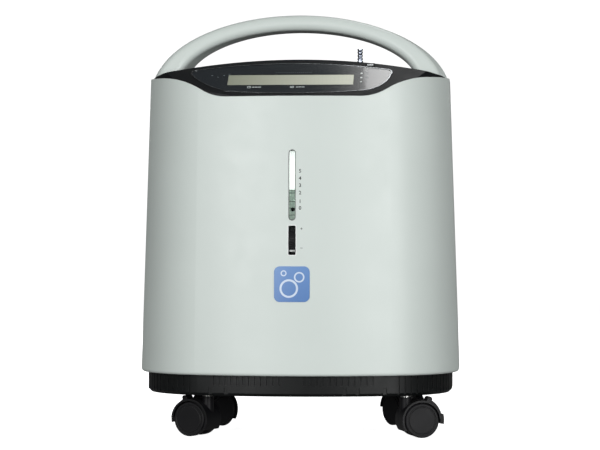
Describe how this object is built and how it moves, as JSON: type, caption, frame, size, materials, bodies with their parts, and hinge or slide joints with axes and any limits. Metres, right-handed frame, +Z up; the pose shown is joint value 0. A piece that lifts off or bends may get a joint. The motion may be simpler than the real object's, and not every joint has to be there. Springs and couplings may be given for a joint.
{
  "type": "oxygen concentrator",
  "caption": "Upright home oxygen concentrator: drafted plastic casing, arched handle, sloping control panel, flow meter and base on twin-wheel swivel casters.",
  "frame": {"origin": "bottom centre of the bounding box, on the floor under the casing", "axes": "+Z up, +X to the user's right, -Y is the front with the flow meter, +Y the back"},
  "size_m": [0.3808, 0.2897, 0.498],
  "materials": {
    "casing_plastic": "fine satin moulded",
    "cover_black": "satin moulded",
    "lens_dark": "polished",
    "trim_silver": "bright",
    "lcd_grey": "display glass",
    "led_green": "unlit lens",
    "rocker_pale": "polished",
    "chrome": "bright plated",
    "clear_tube": "clear",
    "float_black": "polished",
    "badge_blue": "printed film",
    "base_black": "fine textured",
    "button_black": "satin",
    "foam": "open-cell foam",
    "steel": "zinc plated",
    "inner_plastic": "moulded",
    "fan_black": "moulded",
    "cast_aluminium": "as cast",
    "mount_rubber": "moulded",
    "copper": "drawn tube",
    "board_green": "solder mask",
    "hose_clear": "silicone",
    "caster_black": "satin moulded",
    "wheel_black": "satin moulded"
  },
  "bodies": {
    "casing": {"panel_lens": "lens_dark", "panel_trim_ring": "trim_silver", "lcd_module": "lcd_grey", "indicator_leds": "led_green", "rocker_bezel": "cover_black", "outlet_fitting": "chrome", "top_cover": "cover_black", "handle_front": "casing_plastic", "handle_rear": "casing_plastic", "flow_tube": "clear_tube", "flow_window_frame": "float_black", "flow_valve_body": "inner_plastic", "front_badge": "badge_blue", "front_shell": "casing_plastic", "rear_shell": "casing_plastic", "base_tray": "base_black", "caster_stems": "steel", "intake_filter": "foam", "power_inlet": "base_black", "case_screws": "steel", "shelf_plate": "inner_plastic", "fan_frame": "fan_black", "compressor_body": "cast_aluminium", "compressor_heads": "cast_aluminium", "compressor_mounts": "mount_rubber", "sieve_bed_front": "cast_aluminium", "sieve_bed_rear": "cast_aluminium", "valve_block": "inner_plastic", "product_tank": "cast_aluminium", "exhaust_muffler": "inner_plastic", "control_board": "board_green", "cooling_coil": "copper", "gas_hoses": "hose_clear"},
    "rocker": {"power_rocker": "rocker_pale"},
    "float_ball": {"flow_float": "float_black"},
    "thumbwheel": {"flow_wheel": "float_black"},
    "grille": {"filter_grille": "casing_plastic"},
    "reset_button": {"breaker_button": "button_black"},
    "fan": {"fan_rotor": "fan_black"},
    "shaft": {"compressor_shaft": "steel"},
    "left_piston": {"piston_left": "cast_aluminium"},
    "right_piston": {"piston_right": "cast_aluminium"},
    "caster_fl": {"caster_fl_hood": "caster_black", "caster_fl_axle": "steel"},
    "wheel_fl_a": {"caster_fl_wheel_a": "wheel_black"},
    "wheel_fl_b": {"caster_fl_wheel_b": "wheel_black"},
    "brake_fl": {"caster_fl_brake": "caster_black"},
    "caster_fr": {"caster_fr_hood": "caster_black", "caster_fr_axle": "steel"},
    "wheel_fr_a": {"caster_fr_wheel_a": "wheel_black"},
    "wheel_fr_b": {"caster_fr_wheel_b": "wheel_black"},
    "brake_fr": {"caster_fr_brake": "caster_black"},
    "caster_rl": {"caster_rl_hood": "caster_black", "caster_rl_axle": "steel"},
    "wheel_rl_a": {"caster_rl_wheel_a": "wheel_black"},
    "wheel_rl_b": {"caster_rl_wheel_b": "wheel_black"},
    "caster_rr": {"caster_rr_hood": "caster_black", "caster_rr_axle": "steel"},
    "wheel_rr_a": {"caster_rr_wheel_a": "wheel_black"},
    "wheel_rr_b": {"caster_rr_wheel_b": "wheel_black"}
  },
  "joints": [
    {"name": "caster_fl_swivel", "type": "hinge", "parent": "casing", "child": "caster_fl", "pos_m": [-0.103, -0.092, 0.0464], "axis": [0, 0, 1], "continuous": true},
    {"name": "caster_fl_roll_a", "type": "hinge", "parent": "caster_fl", "child": "wheel_fl_a", "pos_m": [-0.11737, -0.08619, 0.02], "axis": [-0.3746, -0.9272, 0], "continuous": true},
    {"name": "caster_fl_roll_b", "type": "hinge", "parent": "caster_fl", "child": "wheel_fl_b", "pos_m": [-0.11737, -0.08619, 0.02], "axis": [-0.3746, -0.9272, 0], "continuous": true},
    {"name": "caster_fl_brake", "type": "hinge", "parent": "caster_fl", "child": "brake_fl", "pos_m": [-0.12839, -0.08174, 0.04436], "axis": [0.3746, 0.9272, 0], "range_deg": [0, 14]},
    {"name": "caster_fr_swivel", "type": "hinge", "parent": "casing", "child": "caster_fr", "pos_m": [0.129, -0.092, 0.0464], "axis": [0, 0, 1], "continuous": true},
    {"name": "caster_fr_roll_a", "type": "hinge", "parent": "caster_fr", "child": "wheel_fr_a", "pos_m": [0.1439, -0.08773, 0.02], "axis": [-0.2756, 0.9613, 0], "continuous": true},
    {"name": "caster_fr_roll_b", "type": "hinge", "parent": "caster_fr", "child": "wheel_fr_b", "pos_m": [0.1439, -0.08773, 0.02], "axis": [-0.2756, 0.9613, 0], "continuous": true},
    {"name": "caster_fr_brake", "type": "hinge", "parent": "caster_fr", "child": "brake_fr", "pos_m": [0.15532, -0.08445, 0.04436], "axis": [0.2756, -0.9613, 0], "range_deg": [0, 14]},
    {"name": "caster_rl_swivel", "type": "hinge", "parent": "casing", "child": "caster_rl", "pos_m": [-0.103, 0.074, 0.0464], "axis": [0, 0, 1], "continuous": true},
    {"name": "caster_rl_roll_a", "type": "hinge", "parent": "caster_rl", "child": "wheel_rl_a", "pos_m": [-0.11337, 0.06248, 0.02], "axis": [0.7431, -0.6691, 0], "continuous": true},
    {"name": "caster_rl_roll_b", "type": "hinge", "parent": "caster_rl", "child": "wheel_rl_b", "pos_m": [-0.11337, 0.06248, 0.02], "axis": [0.7431, -0.6691, 0], "continuous": true},
    {"name": "caster_rr_swivel", "type": "hinge", "parent": "casing", "child": "caster_rr", "pos_m": [0.129, 0.074, 0.0464], "axis": [0, 0, 1], "continuous": true},
    {"name": "caster_rr_roll_a", "type": "hinge", "parent": "caster_rr", "child": "wheel_rr_a", "pos_m": [0.11946, 0.08621, 0.02], "axis": [-0.788, -0.6157, 0], "continuous": true},
    {"name": "caster_rr_roll_b", "type": "hinge", "parent": "caster_rr", "child": "wheel_rr_b", "pos_m": [0.11946, 0.08621, 0.02], "axis": [-0.788, -0.6157, 0], "continuous": true},
    {"name": "power_rocker_tilt", "type": "hinge", "parent": "casing", "child": "rocker", "pos_m": [0.087, -0.07176, 0.43434], "axis": [1, 0, 0], "range_deg": [-8, 8]},
    {"name": "float_rise", "type": "slide", "parent": "casing", "child": "float_ball", "axis": [0, 0, 1], "range_m": [0, 0.0696]},
    {"name": "flow_wheel_turn", "type": "hinge", "parent": "casing", "child": "thumbwheel", "pos_m": [0, -0.12359, 0.22945], "axis": [1, 0, 0], "range_deg": [-540, 540]},
    {"name": "grille_pull", "type": "slide", "parent": "casing", "child": "grille", "axis": [0, 1, 0], "range_m": [0, 0.04]},
    {"name": "reset_press", "type": "slide", "parent": "casing", "child": "reset_button", "axis": [0, -1, 0], "range_m": [0, 0.003], "stiffness_N_per_m": 400},
    {"name": "fan_spin", "type": "hinge", "parent": "casing", "child": "fan", "pos_m": [0.062, 0.004, 0.231], "axis": [0, 0, 1], "continuous": true},
    {"name": "shaft_spin", "type": "hinge", "parent": "casing", "child": "shaft", "pos_m": [0.062, 0.004, 0.128], "axis": [1, 0, 0], "continuous": true},
    {"name": "left_piston_pin", "type": "hinge", "parent": "shaft", "child": "left_piston", "pos_m": [-0.003, 0.004, 0.132], "axis": [1, 0, 0], "continuous": true},
    {"name": "right_piston_pin", "type": "hinge", "parent": "shaft", "child": "right_piston", "pos_m": [0.127, 0.004, 0.132], "axis": [1, 0, 0], "continuous": true}
  ],
  "couplings": [
    {"joint": "left_piston_pin", "follows": "shaft_spin", "ratio": -1},
    {"joint": "right_piston_pin", "follows": "shaft_spin", "ratio": -1}
  ]
}
